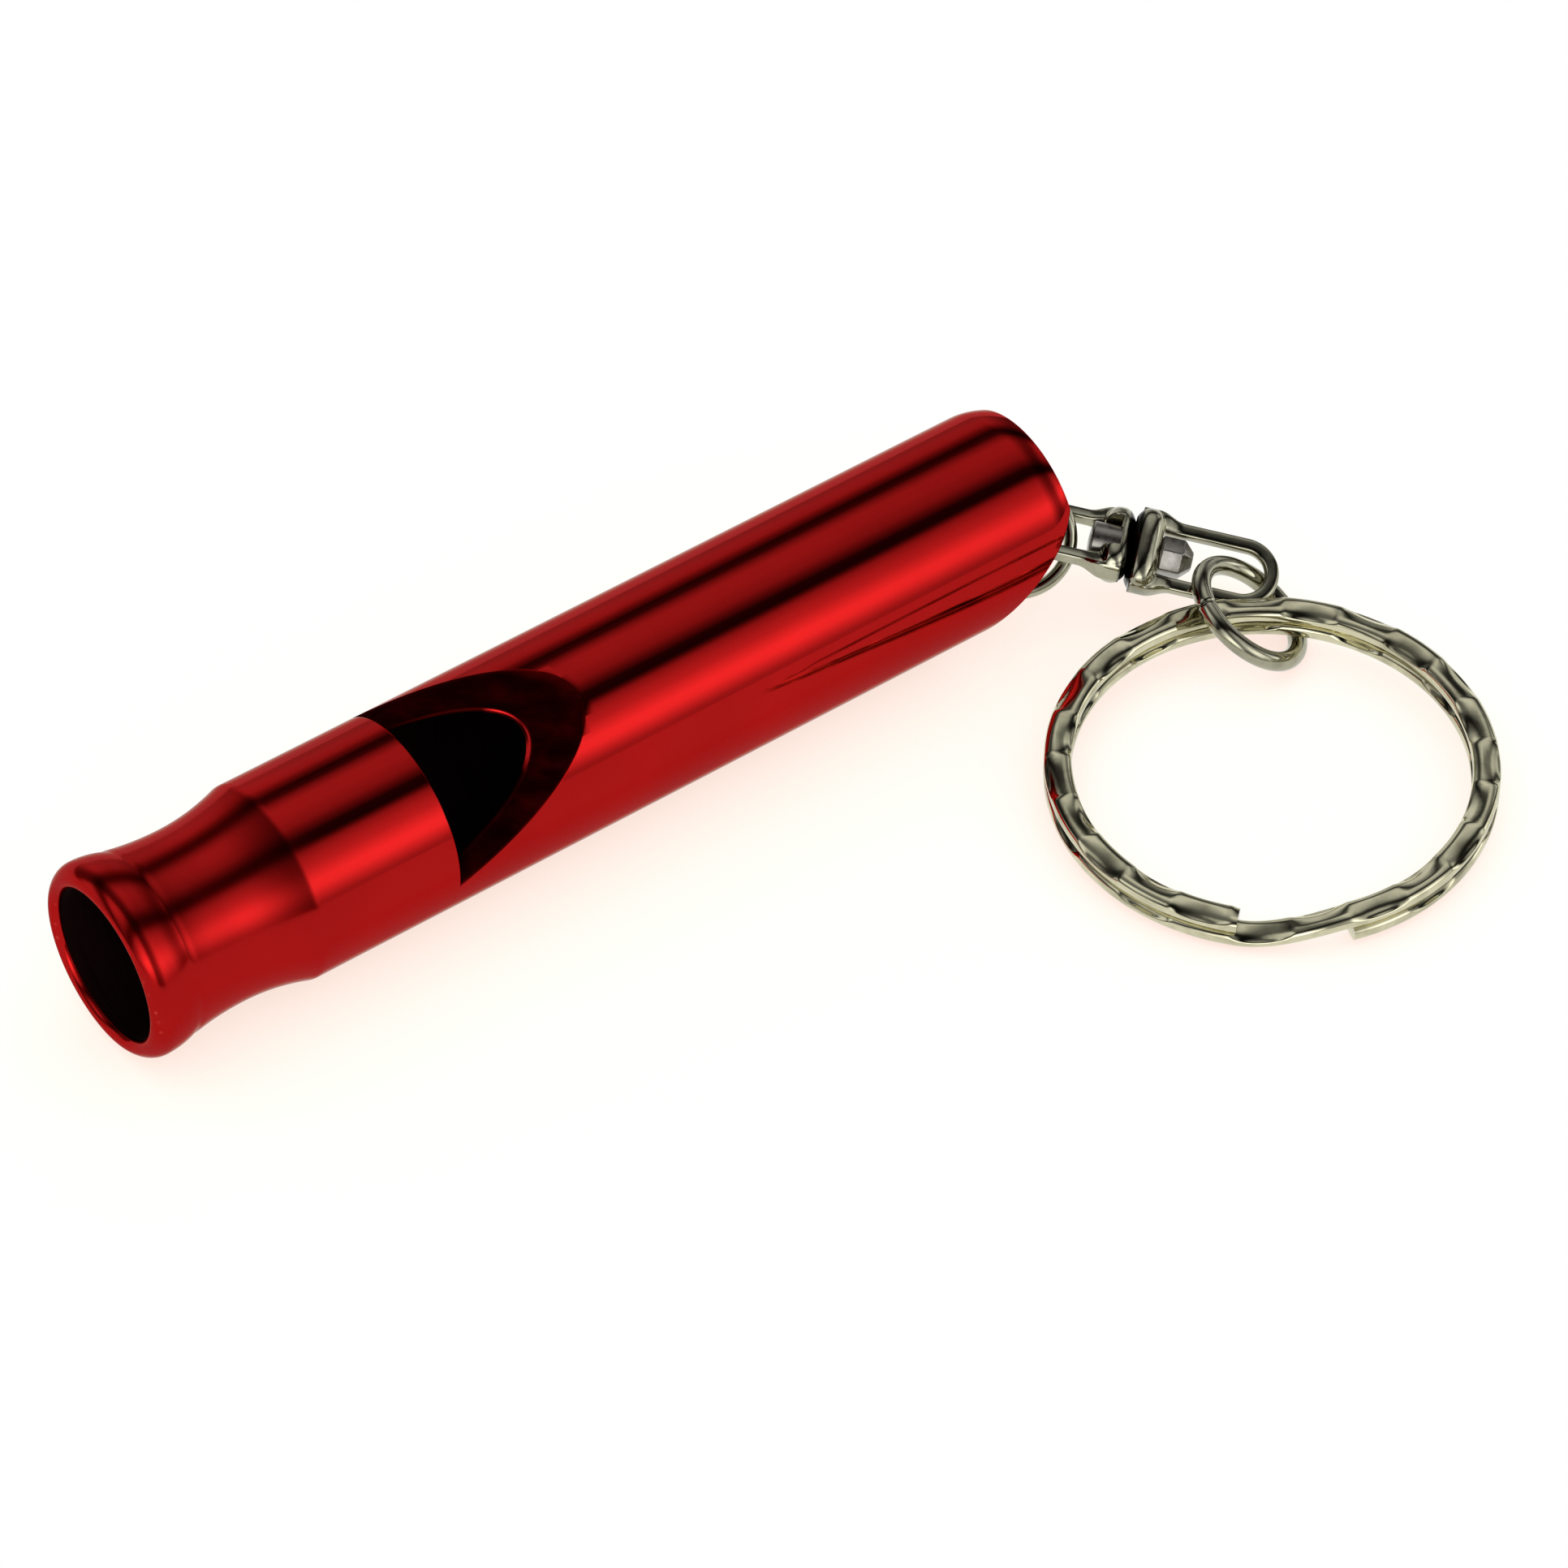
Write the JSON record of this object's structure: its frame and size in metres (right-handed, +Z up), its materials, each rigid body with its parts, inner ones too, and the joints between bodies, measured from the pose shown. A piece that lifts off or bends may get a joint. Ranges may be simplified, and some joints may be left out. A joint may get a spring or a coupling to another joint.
{
  "type": "training whistle",
  "caption": "Slim tubular whistle with a waisted mouthpiece, a sound window, a slanted tail, a swivel chain and a split key ring.",
  "frame": {"origin": "on the tube's axis, in the plane of the mouthpiece's front face", "axes": "+X along the tube from the mouthpiece to the tail, +Z up as the whistle lies on a table"},
  "size_m": [0.0741, 0.0406, 0.0115],
  "materials": {
    "red_anodised": "polished and red anodised",
    "black_plastic": "moulded",
    "bare_aluminium": "turned",
    "nickel": "polished nickel plate",
    "rivet_steel": "plated"
  },
  "bodies": {
    "whistle": {"whistle_tube": "red_anodised", "fipple_plug": "black_plastic", "tail_plug": "bare_aluminium"},
    "tail_ring": {"tail_jump_ring": "nickel"},
    "front_swivel": {"front_swivel_frame": "nickel", "swivel_rivet": "rivet_steel"},
    "rear_swivel": {"rear_swivel_frame": "nickel"},
    "link_ring": {"link_jump_ring": "nickel"},
    "key_ring": {"split_ring": "nickel"}
  },
  "joints": [
    {"name": "tail_ring_swing", "type": "hinge", "parent": "whistle", "child": "tail_ring", "pos_m": [0.05741, 0, -0.00212], "axis": [0.1712, 0.7109, 0.6821], "range_deg": [-18, 60]},
    {"name": "front_swivel_swing", "type": "hinge", "parent": "tail_ring", "child": "front_swivel", "pos_m": [0.06257, -0.00307, -0.0015], "axis": [0.4189, 0.5635, 0.712], "range_deg": [-18, 30]},
    {"name": "swivel_spin", "type": "hinge", "parent": "front_swivel", "child": "rear_swivel", "pos_m": [0.065, -0.00539, -0.00188], "axis": [0.6835, -0.7137, -0.1532], "continuous": true},
    {"name": "link_ring_swing", "type": "hinge", "parent": "rear_swivel", "child": "link_ring", "pos_m": [0.06908, -0.00931, -0.00265], "axis": [-0.8041, 0.1954, 0.5614], "range_deg": [-28, 10]},
    {"name": "split_ring_swing", "type": "hinge", "parent": "link_ring", "child": "key_ring", "pos_m": [0.06818, -0.0126, -0.0034], "axis": [-0.8253, 0.5647, -0.0018], "range_deg": [-8, 30]}
  ]
}
